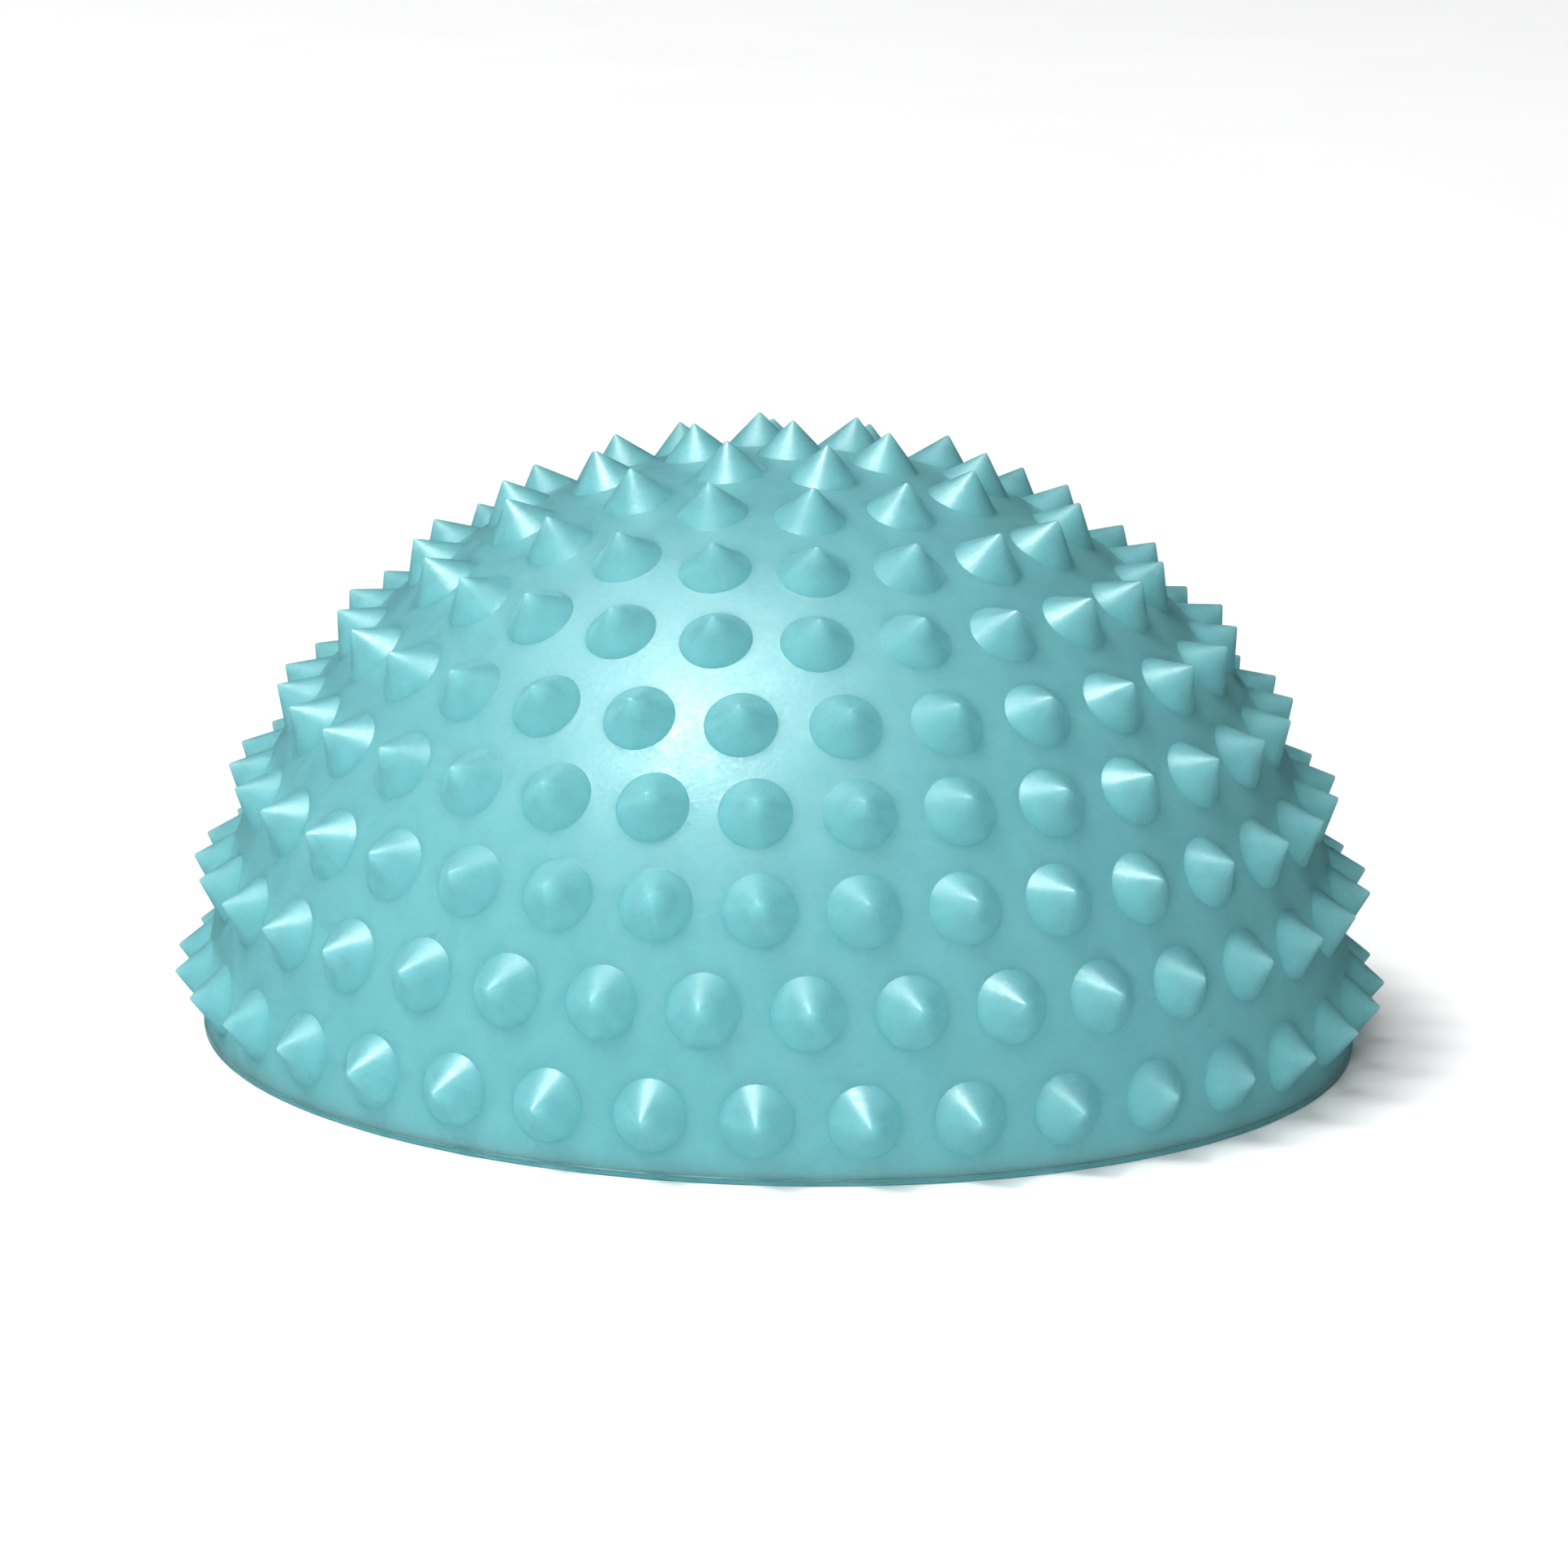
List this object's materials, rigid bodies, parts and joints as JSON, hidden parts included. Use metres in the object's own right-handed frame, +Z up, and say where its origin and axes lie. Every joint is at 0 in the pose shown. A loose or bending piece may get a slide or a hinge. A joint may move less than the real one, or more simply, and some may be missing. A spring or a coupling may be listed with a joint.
{
  "type": "spiked balance dome",
  "caption": "Air-filled flat-based half-dome with rings of short cones, for standing or pressing on, with a push-in air plug underneath.",
  "frame": {"origin": "centre of the flat underside, on the floor plane", "axes": "+Z up through the dome's top spike, front faces -Y"},
  "size_m": [0.1662, 0.1662, 0.0845],
  "materials": {
    "teal_skin": "satin",
    "teal_base": "satin",
    "clear_soft_seat": "satin",
    "white_plug": "satin"
  },
  "bodies": {
    "dome": {"spiked_dome": "teal_skin", "base_disc": "teal_base", "valve_seat": "clear_soft_seat"},
    "plug": {"valve_plug": "white_plug"}
  },
  "joints": [
    {"name": "plug_pull", "type": "slide", "parent": "dome", "child": "plug", "axis": [0, 0, -1], "range_m": [0, 0.012]}
  ]
}
